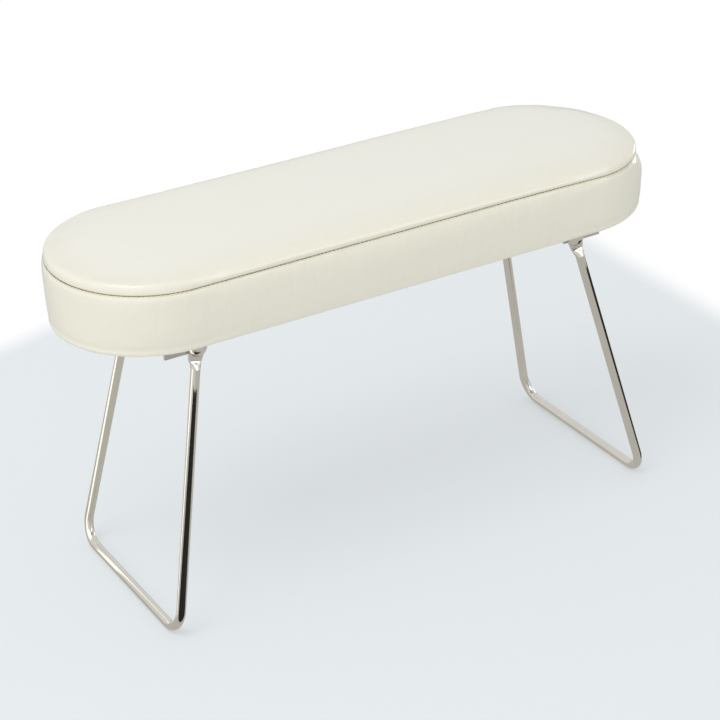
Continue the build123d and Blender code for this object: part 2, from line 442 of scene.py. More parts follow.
@dataclass(frozen=True)
class PearlLeather(Finish):
    """Coated leather cloth with a soft pearl gloss, fine grain and drawn-up creases, with painted shade and
    warm reflection on the band and round the seam.
    """

    shade: Colour = (0.765, 0.75, 0.655)
    shade_amount: float = 0.30
    shade_scale: float = 22.0
    # painted shade and warm reflection: the band and the top panel's edge are coloured darker and warmer
    # than the flat top
    edge_tint: Colour = (0.745, 0.72, 0.60)
    edge_amount: float = 0.8
    # painted shade: the leather is darker and browner in the seam's groove
    seam_tint: Colour = (0.72, 0.65, 0.46)
    seam_amount: float = 0.55
    polished: float = 0.05           # how much smoother and
    dulled: float = 0.08             # how much rougher than usual the leather is in places
    coat: float = 0.5
    coat_roughness: float = 0.13
    sheen: float = 0.08
    creased_everywhere: float = 0.15     # how much the leather is creased far from the seam
    crease_stretch: tuple[float, float, float] = (210.0, 210.0, 42.0)
    crease_depth: float = 0.30 * MM
    crushed_stretch: tuple[float, float, float] = (430.0, 430.0, 300.0)
    crushed_depth: float = 0.15 * MM
    slack_scale: float = 90.0
    slack_depth: float = 0.22 * MM
    grain_scale: float = 1500.0
    grain_depth: float = 0.035 * MM

    def build(self, groups: SharedGroups) -> bpy.types.Material:
        """Returns the material."""
        material, recipe, shader = self.start()
        tone = self.toned(recipe, groups, self.shade, self.shade_amount, self.shade_scale)
        near = recipe.add("Attribute", attribute_name="near_seam").outputs["Fac"]
        groove = recipe.add("Attribute", attribute_name="groove_shade_mask").outputs["Fac"]
        # painted shade and warm reflection on the band and the top panel's edge
        share = recipe.math("MULTIPLY", near, self.edge_amount)
        edge_shaded = recipe.blend(share, tone.outputs["Colour"], (*self.edge_tint, 1))
        # painted shade in the seam's groove
        depth = recipe.math("MULTIPLY", groove, self.seam_amount)
        smoothest, roughest = self.roughness - self.polished, self.roughness + self.dulled
        recipe.put(shader, {
            "Base Color": recipe.blend(depth, edge_shaded, (*self.seam_tint, 1)),
            "Roughness": recipe.spread(tone.outputs["Mask"], smoothest, roughest),
            "Coat Weight": self.coat,
            "Coat Roughness": self.coat_roughness,
            "Sheen Weight": self.sheen,
        })
        grain = recipe.group(groups.pebble, {"Scale": self.grain_scale})
        slack = recipe.noise(recipe.place(), self.slack_scale)
        creases = recipe.noise(recipe.place(self.crease_stretch), detail=4.0)
        crushed = recipe.noise(recipe.place(self.crushed_stretch), detail=3.0)
        creased = recipe.math("ADD", near, self.creased_everywhere)
        self.bump(recipe, shader, [
            (slack, self.slack_depth),
            (recipe.math("MULTIPLY", creases, creased), self.crease_depth),
            (recipe.math("MULTIPLY", crushed, creased), self.crushed_depth),
            (grain.outputs["Height"], self.grain_depth),
        ])
        return material


@dataclass(frozen=True)
class PlatedMetal(Finish):
    """Plated steel, polished or as rolled, with faint lines from drawing or rolling."""

    shade: Colour = (0.55, 0.53, 0.48)
    shade_amount: float = 0.35
    shade_scale: float = 60.0
    lines_along: tuple[float, float, float] = (1200.0, 1200.0, 30.0)
    line_depth: float = 0.004 * MM
    haze: float = 0.08               # how much rougher it is where it is smeared
    smear_scale: float = 140.0

    def build(self, groups: SharedGroups) -> bpy.types.Material:
        """Returns the material."""
        material, recipe, shader = self.start()
        tone = self.toned(recipe, groups, self.shade, self.shade_amount, self.shade_scale)
        smear = recipe.noise(recipe.place(), self.smear_scale, 4.0)
        recipe.put(shader, {
            "Metallic": 1.0,
            "Base Color": tone.outputs["Colour"],
            "Roughness": recipe.spread(smear, self.roughness, self.roughness + self.haze),
        })
        lines = recipe.group(groups.drawn_lines, {"Along": self.lines_along})
        self.bump(recipe, shader, [(lines.outputs["Height"], self.line_depth)])
        return material


@dataclass(frozen=True)
class SewingThread(Finish):
    """Twisted polyester thread."""

    sheen: float = 0.3
    ply_stretch: tuple[float, float, float] = (2600.0, 2600.0, 5200.0)
    ply_depth: float = 0.08 * MM

    def build(self, groups: SharedGroups) -> bpy.types.Material:
        """Returns the material."""
        material, recipe, shader = self.start()
        tone = self.toned(recipe, groups, self.darker(0.8), 0.5, 400.0)
        recipe.put(shader, {"Base Color": tone.outputs["Colour"], "Sheen Weight": self.sheen})
        plies = recipe.noise(recipe.place(self.ply_stretch), detail=1.0)
        self.bump(recipe, shader, [(plies, self.ply_depth)])
        return material


@dataclass(frozen=True)
class Plywood(Finish):
    """Raw plywood: long grain on the faces and thin plies at the edge."""

    grain_colour: Colour = (0.42, 0.27, 0.13)
    grain_stretch: tuple[float, float, float] = (9.0, 160.0, 160.0)
    grain_depth: float = 0.15 * MM
    ply: float = 1.5 * MM
    least_grain: float = 0.4         # how strongly the palest ply shows the grain

    def build(self, groups: SharedGroups) -> bpy.types.Material:
        """Returns the material."""
        material, recipe, shader = self.start()
        grain = recipe.noise(recipe.place(self.grain_stretch), detail=5.0)
        height = recipe.put(recipe.add("SeparateXYZ"), {"Vector": recipe.place()}).outputs["Z"]
        edge = recipe.math("DIVIDE", recipe.math("PINGPONG", height, self.ply), self.ply)
        shade = recipe.math("MULTIPLY", grain, recipe.math("ADD", edge, self.least_grain))
        colour = recipe.blend(shade, (*self.colour, 1), (*self.grain_colour, 1))
        recipe.put(shader, {"Base Color": colour})
        self.bump(recipe, shader, [(grain, self.grain_depth)])
        return material


@dataclass(frozen=True)
class PressedFibre(Finish):
    """Non-woven cloth or open foam: a soft, matt, slightly uneven surface."""

    cell_scale: float = 700.0
    cell_depth: float = 0.12 * MM
    crease: float = 1.2
    sheen: float = 0.25

    def build(self, groups: SharedGroups) -> bpy.types.Material:
        """Returns the material."""
        material, recipe, shader = self.start()
        tone = self.toned(recipe, groups, self.darker(0.82), 0.6, 130.0)
        recipe.put(shader, {"Base Color": tone.outputs["Colour"], "Sheen Weight": self.sheen})
        cells = recipe.group(groups.pebble, {"Scale": self.cell_scale, "Crease": self.crease})
        self.bump(recipe, shader, [(cells.outputs["Height"], self.cell_depth)])
        return material


@dataclass(frozen=True)
class StudioFloor(Finish):
    """Plain pale floor that turns to white behind the rest and beyond its right-hand end."""

    white_start: float = 0.315       # how far behind or beside the rest the white begins
    white_end: float = 0.345
    white_turn: float = 0.29         # how far the white's edge behind the rest is turned
    white_beside: float = 0.02       # how much nearer the white begins beside the rest
    own_light: float = 0.42          # evens out the soft shadows
    lit: Colour = (0.92, 0.96, 0.985)
    mirrored: Colour = (0.56, 0.55, 0.52)      # how the floor looks in the metal

    def build(self, groups: SharedGroups) -> bpy.types.Material:
        """Returns the material."""
        material, recipe, shader = self.start()
        recipe.put(shader, {
            "Base Color": self.toned(recipe, groups, self.darker(0.97), 0.5, 3.0).outputs["Colour"],
            "Specular IOR Level": 0.0,
            "Emission Color": (*self.lit, 1),
            "Emission Strength": self.own_light,
        })
        place = recipe.put(recipe.add("SeparateXYZ"), {"Vector": recipe.place()})
        x, y = place.outputs["X"], place.outputs["Y"]
        behind = recipe.math("SUBTRACT", y, recipe.math("MULTIPLY", x, self.white_turn))
        beside = recipe.math("ADD", x, self.white_beside)
        fade = recipe.put(recipe.add("MapRange", interpolation_type="SMOOTHSTEP"), {
            "Value": recipe.math("MAXIMUM", behind, beside),
            "From Min": self.white_start,
            "From Max": self.white_end,
        })
        plain = recipe.mixed(fade.outputs["Result"], shader.outputs[0], recipe.glow((1.0, 1.0, 1.0)))
        ray = recipe.add("LightPath")
        recipe.surface(recipe.mixed(ray.outputs["Is Glossy Ray"], plain, recipe.glow(self.mirrored)))
        return material


@dataclass
class Finishes:
    """Every finish of the rest, built once."""

    groups: SharedGroups = field(default_factory=SharedGroups)

    def __post_init__(self) -> None:
        """Builds the materials."""
        groups = self.groups
        self.leather = PearlLeather("pearl_leather", (0.80, 0.79, 0.71), 0.34).build(groups)
        self.nickel = PlatedMetal("nickel_rod", (0.80, 0.77, 0.70), 0.10).build(groups)
        self.sheet = PlatedMetal(
            "rolled_sheet", (0.66, 0.64, 0.59), 0.26, lines_along=(60.0, 1500.0, 1500.0), haze=0.14
        ).build(groups)
        self.zinc = PlatedMetal("zinc_plate", (0.70, 0.70, 0.69), 0.24, shade=(0.5, 0.5, 0.52)).build(groups)
        self.rivet = PlatedMetal("nickel_rivet", (0.82, 0.79, 0.72), 0.12).build(groups)
        self.thread = SewingThread("sewing_thread", (0.80, 0.74, 0.58), 0.7).build(groups)
        self.plywood = Plywood("raw_plywood", (0.70, 0.55, 0.36), 0.75).build(groups)
        self.cloth = PressedFibre("lining_cloth", (0.62, 0.61, 0.58), 0.9).build(groups)
        self.foam = PressedFibre("open_foam", (0.83, 0.78, 0.58), 0.95, 420.0, 0.4 * MM).build(groups)


# --------------------------------------------------------------------------------------------
# The pad


@dataclass(frozen=True)
class LeatherCloth:
    """How the leather gives while it is stuffed, under the names of the cloth settings it fills in."""

    quality: int = 7
    mass: float = 0.15
    tension_stiffness: float = 60
    compression_stiffness: float = 45
    shear_stiffness: float = 25
    bending_stiffness: float = 0.08
    tension_damping: float = 15
    compression_damping: float = 15
    air_damping: float = 4
    vertex_group_mass: str = "sewn"
    pin_stiffness: float = 1.0
    vertex_group_shrink: str = "eased"
    shrink_min: float = 0.0
    shrink_max: float = -0.025
    use_pressure: bool = True
    uniform_pressure_force: float = 2.2

    def fill_in(self, settings: bpy.types.ClothSettings) -> None:
        """Copies the values into a cloth's settings."""
        for entry in fields(self):
            setattr(settings, entry.name, getattr(self, entry.name))
        settings.effector_weights.gravity = 0.0


@dataclass(frozen=True)
class Puckers:
    """The small folds that the stitches pull up beside the seam, and the leather's broad slackness."""

    depth: float = 0.42 * MM
    reach: float = 7.0 * MM          # how far from the seam the folds die away
    start: float = 0.8 * MM          # and how soon they begin
    grain: tuple[float, float] = (3.6 * MM, 16.0 * MM)      # along the seam, and away from it
    wide_grain: tuple[float, float] = (8.5 * MM, 25.0 * MM)
    wide_share: float = 0.6
    patch: float = 40.0 * MM         # along the seam the folds come and go at this length,
    patch_shift: float = 0.4
    least: float = 0.35              # but this share of them is always there
    most: float = 0.65
    slack_grain: tuple[float, float] = (26.0 * MM, 18.0 * MM)
    slack_top: float = 0.12 * MM
    slack_band: float = 0.45 * MM
    slack_start: float = 6.0 * MM
    seed_top: float = 7.0            # so that the two panels' folds differ
    seed_band: float = 3.0

    def height(self, along: float, gap: float, over: bool) -> float:
        """How far the leather stands up beside the seam.

        Args:
            along: Place round the rim.
            gap: Distance from the seam.
            over: Whether the point is on the top panel.

        Returns:
            The height there.
        """
        seed = self.seed_top if over else self.seed_band
        wave = ripple(along, gap, self.grain, seed)
        wave += self.wide_share * ripple(along, gap, self.wide_grain, seed + 5)
        patch = ripple(along, seed, (self.patch, 1.0), 0.5)
        amount = self.least + self.most * max(patch + self.patch_shift, 0.0)
        start = 1 - math.exp(-gap / self.start)
        slack = ripple(along, gap, self.slack_grain, seed + 9) * (1 - math.exp(-gap / self.slack_start))
        broad = (self.slack_top if over else self.slack_band) * slack
        return self.depth * wave * amount * start * math.exp(-gap / self.reach) + broad


@dataclass
class StuffedPad:
    """The pad's outline and section, and the leather sewn and stuffed over it.

    The outline has straight sides and slightly blunt half-round ends. A point of it is a place
    along the straight, from -1 to 1, and a direction round the end, so the same net of points
    serves at every height.
    """

    half_straight: float = 118.5 * MM
    thread_stand_out: float = 0.1 * MM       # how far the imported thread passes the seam
    hem_slack: float = 1.2 * MM      # between the band and the board's edge
    crown_power: float = 3.0         # 2 is a domed top, more is a flatter one
    roll_width: float = 5.2 * MM     # the top panel's edge, turning down to the seam
    roll_height: float = 6.3 * MM
    roll_square: float = 2.9         # 2 is a round turn, more is a squarer one
    roll_turn: float = 66.0          # degrees of a quarter turn that the edge takes up
    roll_end: float = 3.0            # and how many are left at the seam
    roll_steps: int = 9
    pinch: float = 0.3 * MM          # how far the stitches draw the seam in
    pinch_reach: float = 0.55 * MM
    bulge: float = 1.3 * MM          # how far the band swells out past the seam
    bulge_reach: float = 1.1 * MM
    band_turn: float = 2.4           # how late, going down, the band turns in to the board
    lip: float = 2.0 * MM            # radius of the band's folded lower edge
    crease_depth: float = 0.45 * MM  # the fold line just above the band's lower edge
    crease_width: float = 1.1 * MM
    crease_height: float = 4.0 * MM
    hem: float = 13.0 * MM           # how far the band runs in under the board
    band_rings: int = 21
    cells_end: int = 22
    cells_middle: int = 98
    cells_across: int = 48
    leather: float = 1.0 * MM
    tint_reach: float = 15.0 * MM    # how far in from the top panel's edge the painted warm shade and reflection reaches; the band has it all over
    groove_reach: float = 0.5 * MM   # painted shade: how far from the seam the darkening of its groove reaches
    puckers: Puckers = Puckers()
    frames: int = 20                 # how long the stuffing runs
    rise: float = 1.2 * MM           # how far it may move the leather near the seam
    rise_less: float = 0.5 * MM      # and how much less it may at the middle
    rise_reach: float = 25.0 * MM
    calm_reach: float = 6.0 * MM     # the flat of the top panel is smoothed from here in
    calm_factor: float = 0.6
    calm_steps: int = 24
    drawn_end: float = 4.2 * MM      # the right-hand end of the top panel is sewn in shorter
    drawn_down: float = 2.6 * MM     # and its seam is pulled down
    drawn_from: float = 60.0 * MM    # where along the pad this begins
    drawn_length: float = 105.0 * MM
    drawn_curve: float = 1.6
    drawn_height: float = 7.0 * MM   # how far up and down from the seam it is pulled
    drawn_top: float = 0.6           # how much of the shortening reaches the flat of the top
    drawn_top_reach: float = 1.6 * MM
    drawn_band: float = 14.0 * MM    # how far down the band the shortening reaches
    sunk_edge: float = 1.7 * MM      # the top's edge, worn down towards the right
    sunk_from: float = -60.0 * MM
    sunk_length: float = 200.0 * MM
    sunk_reach: float = 11.0 * MM
    sunk_rise: float = 5.0 * MM      # the wear is whole from this far above the seam
    foam_lift: float = 0.4 * MM      # between the foam and the board
    foam_cell: float = 2.5 * MM      # size of the squares of the foam's surface
    foam_inset: float = 2.3 * MM     # between the foam and the cover's outside
    foam_foot: float = 3.0 * MM      # the flat underside is only drawn in from the side, up to here
    seam_line: list[Vector] = field(default_factory=list)    # once round, filled in by build

    def __post_init__(self) -> None:
        """Reads the pad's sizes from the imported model."""
        thread_low, thread_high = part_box("seam_thread")
        band_low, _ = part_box("side_band")
        _, board_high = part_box("base_board")
        self.seam_height = (thread_low.z + thread_high.z) / 2
        self.half_length = thread_high.x - self.thread_stand_out
        self.half_width = thread_high.y - self.thread_stand_out
        self.base = band_low.z
        self.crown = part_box("top_panel")[1].z
        self.tuck_x = self.half_length - board_high.x - self.hem_slack
        self.tuck_y = self.half_width - board_high.y - self.hem_slack

    # Outline

    def direction(self, column: int, row: int) -> tuple[float, float, float]:
        """One point of the flat net.

        Args:
            column: Cells from the left-hand end.
            row: Cells from the front.

        Returns:
            The place along the straight, and the direction across it, shorter inside the rim.
        """
        across = 2 * row / self.cells_across - 1
        last = 2 * self.cells_end + self.cells_middle
        if column < self.cells_end or column > last - self.cells_end:
            beyond = self.cells_end - min(column, last - column)
            share = beyond / self.cells_end
            side = -1.0 if column < self.cells_end else 1.0
            x = side * share * math.sqrt(1 - across * across / 2)
            return side, x, across * math.sqrt(1 - share * share / 2)
        return 2 * (column - self.cells_end) / self.cells_middle - 1, 0.0, across

    def rim(self) -> list[tuple[int, int]]:
        """The net's outer points, once round from the front left, anticlockwise from above."""
        last = 2 * self.cells_end + self.cells_middle
        front = [(column, 0) for column in range(last)]
        right = [(last, row) for row in range(self.cells_across)]
        back = [(column, self.cells_across) for column in range(last, 0, -1)]
        left = [(0, row) for row in range(self.cells_across, 0, -1)]
        return front + right + back + left

    def at(self, way: tuple[float, float, float], out_x: float, out_y: float, height: float) -> Vector:
        """A point on an outline drawn out or in from the seam's.

        Args:
            way: A place and direction, as direction() gives.
            out_x: How far out at the ends.
            out_y: How far out at the sides.
            height: The point's height.

        Returns:
            The point, in metres.
        """
        place, x, y = way
        end = self.half_length - self.half_straight
        along = place * self.half_straight + x * (end + out_x)
        return Vector((along, y * (self.half_width + out_y), height))

    def along(self, point: Vector) -> float:
        """How far round the rim, from its middle, the nearest point of the seam is."""
        beyond = abs(point.x) - self.half_straight
        if beyond <= 0:
            return point.x + (0.0 if point.y < 0 else 2.0)
        turn = math.atan2(beyond, -point.y)
        return math.copysign(self.half_straight + turn * self.half_width, point.x)

    def inside_rim(self, point: Vector) -> float:
        """How far a point of the top panel lies in from the seam, in plan."""
        beyond = max(abs(point.x) - self.half_straight, 0.0)
        end = self.half_length - self.half_straight
        share = math.hypot(beyond / end, point.y / self.half_width)
        return max(1 - share, 0.0) * self.half_width

    def from_seam(self, point: Vector) -> float:
        """How far from the seam a point is, up or down the leather."""
        rise = point.z - self.seam_height
        return math.hypot(rise, self.inside_rim(point)) if rise > 0 else -rise

    # Section

    def roll(self) -> list[tuple[float, float, float]]:
        """Rings down the top panel's edge, from where the flat part meets it to the seam."""
        rings = []
        for step in range(self.roll_steps):
            turn = math.radians(self.roll_turn * (1 - step / (self.roll_steps - 1)) + self.roll_end)
            power = 2 / self.roll_square
            out = -self.roll_width * (1 - math.cos(turn) ** power)
            rise = self.roll_height * math.sin(turn) ** power
            tuck = self.pinch * math.exp(-rise / self.pinch_reach)
            rings.append((out - tuck, out - tuck, self.seam_height + rise))
        return rings

    def band(self) -> list[tuple[float, float, float]]:
        """Rings down the band, from the seam to the start of its folded edge."""
        rings = []
        height = self.seam_height - self.base - self.lip
        for step in range(self.band_rings + 1):
            drop = height * (1 - math.cos(math.pi * step / self.band_rings)) / 2
            share = (drop / height) ** self.band_turn
            swell = self.bulge - (self.bulge + self.pinch) * math.exp(-drop / self.bulge_reach)
            above = height + self.lip - drop - self.crease_height
            swell -= self.crease_depth * fading(above, self.crease_width)
            out = [swell - (self.bulge + tuck - self.lip) * share for tuck in (self.tuck_x, self.tuck_y)]
            rings.append((out[0], out[1], self.seam_height - drop))
        return rings

    def section(self) -> list[tuple[float, float, float]]:
        """Every ring, from the start of the roll, over the seam and down to the end of the hem.

        Returns:
            For each ring, how far out at the ends, how far out at the sides, and its height.
        """
        rings = self.roll()
        self.seam_ring = len(rings)
        rings += self.band()
        self.lip_ring = len(rings) - 1
        edge_x, edge_y, _ = rings[-1]
        for degrees in (30, 60, 90):
            turn = math.radians(degrees)
            back = self.lip * (1 - math.cos(turn))
            rings.append((edge_x - back, edge_y - back, self.base + self.lip * (1 - math.sin(turn))))
        hem_x, hem_y, _ = rings[-1]
        for step in (1, 2, 3):
            back = self.hem * step / 3
            rings.append((hem_x - back, hem_y - back, self.base))
        return rings

    def crown_height(self, share: float, edge: float) -> float:
        """Height of the top panel at a share of the way from the middle to the roll."""
        return edge + (self.crown - edge) * (1 - share**self.crown_power)

    # The stuffed cover

    def build_shell(self) -> bpy.types.Object:
        """Makes the whole cover as one open net.

        Returns:
            The net, with each point's ring number, ready to be stuffed.
        """
        net = bmesh.new()
        number = net.verts.layers.int.new("ring")
        last = 2 * self.cells_end + self.cells_middle
        rings = self.section()
        inset_x, inset_y, edge = rings[0]
        flat = {}
        for column in range(last + 1):
            for row in range(self.cells_across + 1):
                way = self.direction(column, row)
                share = min(math.hypot(way[1], way[2]), 1.0)
                flat[column, row] = net.verts.new(
                    self.at(way, inset_x, inset_y, self.crown_height(share, edge))
                )
        for column in range(last):
            for row in range(self.cells_across):
                corners = ((column, row), (column + 1, row), (column + 1, row + 1), (column, row + 1))
                net.faces.new([flat[c] for c in corners])
        rim = self.rim()
        above = [flat[c] for c in rim]
        ways = [self.direction(*c) for c in rim]
        for index, (out_x, out_y, height) in enumerate(rings[1:], start=1):
            below = [net.verts.new(self.at(way, out_x, out_y, height)) for way in ways]
            for vert in below:
                vert[number] = index
            for k, upper in enumerate(above):
                after = (k + 1) % len(above)
                net.faces.new((upper, below[k], below[after], above[after]))
            above = below
        bmesh.ops.recalc_face_normals(net, faces=net.faces)
        return Bench.add_net("cover", net)

    def mark_groups(self, cover: bpy.types.Object) -> None:
        """Marks what is sewn or stapled down, where the seam gathers the leather, and where painted shade
        lies.

        Args:
            cover: The net.
        """
        rings = [entry.value for entry in cover.data.attributes["ring"].data]
        gaps = [self.from_seam(vert.co) for vert in cover.data.vertices]
        tops = [number < self.seam_ring for number in rings]
        # painted shade mask: fades in from the top panel's edge and covers the band; the shader also creases
        # the leather by it
        shade_mask = cover.data.attributes.new("near_seam", "FLOAT", "POINT")
        shade_mask.data.foreach_set(
            "value", [fading(gap, self.tint_reach) if over else 1.0 for gap, over in zip(gaps, tops)]
        )
        # painted shade mask for the seam's groove
        shade_mask = cover.data.attributes.new("groove_shade_mask", "FLOAT", "POINT")
        shade_mask.data.foreach_set("value", [fading(gap, self.groove_reach) for gap in gaps])
        sewn = cover.vertex_groups.new(name="sewn")
        eased_in = cover.vertex_groups.new(name="eased")
        flat = cover.vertex_groups.new(name="flat")
        for index, (number, gap, over) in enumerate(zip(rings, gaps, tops)):
            held = abs(number - self.seam_ring) <= 1 or number >= self.lip_ring
            sewn.add([index], 1.0 if held else 0.0, "REPLACE")
            eased_in.add([index], math.exp(-gap / self.puckers.reach), "REPLACE")
            flat.add([index], limited(gap / self.calm_reach - 0.5) if over else 0.0, "REPLACE")

    def stuff(self, cover: bpy.types.Object) -> None:
        """Blows the cover up over its foam by cloth simulation, then keeps the result.

        Args:
            cover: The net, with its groups.
        """
        start = [vert.co.copy() for vert in cover.data.vertices]
        cloth = cover.modifiers.new("stuffing", "CLOTH")
        LeatherCloth().fill_in(cloth.settings)
        cloth.collision_settings.use_collision = False
        cloth.collision_settings.use_self_collision = False
        scene = bpy.context.scene
        for number in range(1, self.frames + 1):
            scene.frame_set(number)
        Bench.pick(cover)
        bpy.ops.object.modifier_apply(modifier=cloth.name)
        scene.frame_set(1)
        for vert, home in zip(cover.data.vertices, start):
            gap = self.inside_rim(home) if home.z > self.seam_height else 0.0
            cap = self.rise - self.rise_less * min(gap / self.rise_reach, 1.0)
            move = vert.co - home
            if move.length > cap:
                move = move.normalized() * cap
            vert.co = home + move
        calm = cover.modifiers.new("calm", "SMOOTH")
        calm.vertex_group = "flat"
        calm.factor = self.calm_factor
        calm.iterations = self.calm_steps
        Bench.bake_modifiers(cover)

    def shape_by_hand(self, cover: bpy.types.Object) -> None:
        """Adds what the maker's hands and use leave: puckers at the seam, a drawn end, a worn edge.

        Args:
            cover: The stuffed net.
        """
        mesh = cover.data
        normals = [vert.normal.copy() for vert in mesh.vertices]
        for vert, normal in zip(mesh.vertices, normals):
            point = vert.co      # moves with its vertex
            over = point.z > self.seam_height
            gap = self.from_seam(point)
            if point.z - self.base > self.lip:
                vert.co = point + normal * self.puckers.height(self.along(point), gap, over)
            point.x -= self.drawn_end * self.end_share(point.x) * self.upper_share(point.z)
            down = fading(point.z - self.seam_height, self.drawn_height)
            point.z -= self.drawn_down * self.end_share(point.x) * down
            if over:
                front_share = limited((point.x - self.sunk_from) / self.sunk_length)
                worn = front_share if point.y < 0 else self.end_share(point.x)
                whole = min((point.z - self.seam_height) / self.sunk_rise, 1.0)
                point.z -= self.sunk_edge * worn * fading(gap, self.sunk_reach) * whole

    def end_share(self, x: float) -> float:
        """Share of the right-hand end's drawing in, by place along the pad."""
        return limited((x - self.drawn_from) / self.drawn_length) ** self.drawn_curve

    def upper_share(self, height: float) -> float:
        """Share of the drawing in, by height: most at the seam, less above it, none at mid band."""
        rise = height - self.seam_height
        if rise > 0:
            return self.drawn_top + (1 - self.drawn_top) * math.exp(-rise / self.drawn_top_reach)
        return eased(1 + rise / self.drawn_band)

    def build(self, finishes: Finishes) -> list[bpy.types.Object]:
        """Makes the top panel, the side band and the foam inside them.

        Args:
            finishes: The rest's finishes.

        Returns:
            The three pieces.
        """
        cover = self.build_shell()
        self.mark_groups(cover)
        self.stuff(cover)
        self.shape_by_hand(cover)
        numbers = cover.data.attributes["ring"].data
        seam = [vert for vert in cover.data.vertices if numbers[vert.index].value == self.seam_ring]
        self.seam_line = [vert.co.copy() for vert in seam]
        foam = self.build_foam(cover)
        Bench.dress(foam, finishes.foam)
        self.declare(foam, "foam_core", "foam", 1.0)
        top_panel = self.panel(cover, "top_panel_leather", True)
        side_band = self.panel(cover, "side_band_leather", False)
        bpy.data.objects.remove(cover)
        for piece, node in ((top_panel, "top_panel"), (side_band, "side_band")):
            Bench.thicken(piece, self.leather, -1.0)
            finer = piece.modifiers.new("finer", "SUBSURF")
            finer.levels = finer.render_levels = 1
            Bench.bake_modifiers(piece)
            Bench.smooth(piece)
            Bench.dress(piece, finishes.leather)
            self.declare(piece, node, "cover_leather", 0.9)
        return [top_panel, side_band, foam]

    @staticmethod
    def declare(piece: bpy.types.Object, node: str, slot: str, fill: float) -> None:
        """Makes a stuffed piece ride on the pad and hides the imported node that it stands for."""
        Bench.stand_for(piece, node, slot)

    def panel(self, cover: bpy.types.Object, name: str, upper: bool) -> bpy.types.Object:
        """Cuts one panel out of the stuffed cover, at the seam.

        Args:
            cover: The whole cover.
            name: The panel's name.
            upper: True for the top panel, False for the band.

        Returns:
            The panel.
        """
        net = bmesh.new()
        net.from_mesh(cover.data)
        ring = net.verts.layers.int["ring"]
        spare = []
        for face in net.faces:
            over = all(vert[ring] <= self.seam_ring for vert in face.verts)
            if over != upper:
                spare.append(face)
        bmesh.ops.delete(net, geom=spare, context="FACES")
        return Bench.add_net(name, net)

    def build_foam(self, cover: bpy.types.Object) -> bpy.types.Object:
        """Makes the foam block, which follows the cover just inside it and sits on the board.

        Args:
            cover: The stuffed cover.

        Returns:
            The block.
        """
        block = Bench.add_mesh("foam_block", cover.data.copy())
        board_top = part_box("base_board")[1].z
        Bench.pick(block)
        bpy.ops.object.mode_set(mode="EDIT")
        bpy.ops.mesh.select_all(action="SELECT")
        foot = (0, 0, board_top + self.foam_lift)
        bpy.ops.mesh.bisect(plane_co=foot, plane_no=(0, 0, 1), use_fill=True, clear_inner=True)
        bpy.ops.object.mode_set(mode="OBJECT")
        cast = block.modifiers.new("cells", "REMESH")
        cast.mode = "VOXEL"
        cast.voxel_size = self.foam_cell
        ease = block.modifiers.new("ease", "SMOOTH")
        ease.iterations = 3
        Bench.bake_modifiers(block)
        for vert in block.data.vertices:
            inward = self.foam_inset
            if vert.co.z <= board_top + self.foam_foot:
                inward *= 1 - abs(vert.normal.z)
            vert.co -= vert.normal * inward
        Bench.smooth(block, 45)
        return block


@dataclass
class Seam:
    """The row of stitches that joins the top panel and the band."""

    pad: StuffedPad
    pitch: float = 2.3 * MM
    stitch_length: float = 1.75 * MM
    thread_radius: float = 0.30 * MM
    stand_out: float = 0.55 * MM
    flatness: float = 0.85           # the thread's thickness under tension
    sides: int = 8
    rings: int = 5

    def build(self, finishes: Finishes) -> bpy.types.Object:
        """Makes all the stitches as one piece.

        Args:
            finishes: The rest's finishes.

        Returns:
            The piece.
        """
        bpy.ops.object.select_all(action="DESELECT")
        bpy.ops.mesh.primitive_uv_sphere_add(
            segments=self.sides, ring_count=self.rings, radius=self.thread_radius
        )
        stitch = bpy.context.object
        bpy.ops.object.mode_set(mode="EDIT")
        bpy.ops.mesh.select_all(action="SELECT")
        stretch = self.stitch_length / (2 * self.thread_radius)
        bpy.ops.transform.resize(value=(self.flatness, 1.0, stretch))
        bpy.ops.object.mode_set(mode="OBJECT")
        row = bmesh.new()
        for matrix in self.places():
            single = stitch.data.copy()
            single.transform(matrix)
            row.from_mesh(single)
            bpy.data.meshes.remove(single)
        bpy.data.objects.remove(stitch)
        piece = Bench.add_net("seam_stitches", row)
        Bench.smooth(piece)
        Bench.dress(piece, finishes.thread)
        Bench.stand_for(piece, "seam_thread", "thread")
        return piece

    def places(self) -> list[Matrix]:
        """Where each stitch lies, evenly spaced round the seam."""
        line = self.pad.seam_line
        lengths = [0.0]
        for here, after in zip(line, line[1:] + line[:1]):
            lengths.append(lengths[-1] + (after - here).length)
        count = round(lengths[-1] / self.pitch)
        places = []
        corner = 0
        for number in range(count):
            reach = lengths[-1] * number / count
            while lengths[corner + 1] < reach:
                corner += 1
            here, after = line[corner], line[(corner + 1) % len(line)]
            ahead = (after - here).normalized()
            share = (reach - lengths[corner]) / (lengths[corner + 1] - lengths[corner])
            spot = here.lerp(after, share) + ahead.cross(Vector((0, 0, 1))) * self.stand_out
            places.append(Matrix.Translation(spot) @ ahead.to_track_quat("Z", "Y").to_matrix().to_4x4())
        return places


# --------------------------------------------------------------------------------------------
# Metal, board and lining


class CarriedOver:
    """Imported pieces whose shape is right, which only get a finish."""

    def dress(self, finishes: Finishes) -> None:
        """Gives each carried-over piece its finish.

        Args:
            finishes: The rest's finishes.
        """
        coats = {"base_board": finishes.plywood, "hem_staples": finishes.zinc}
        for side in Side:
            coats[f"leg_{side.value}"] = finishes.nickel
            coats[f"bracket_{side.value}"] = finishes.sheet
            coats[f"bracket_screws_{side.value}"] = finishes.zinc
            for row in Row:
                coats[f"pivot_rivet_{side.value}_{row.value}"] = finishes.rivet
                coats[f"pivot_washer_{side.value}_{row.value}"] = finishes.zinc
        for name, material in coats.items():
            Bench.dress(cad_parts[name], material)
            LOG.info("dressed %s", name)


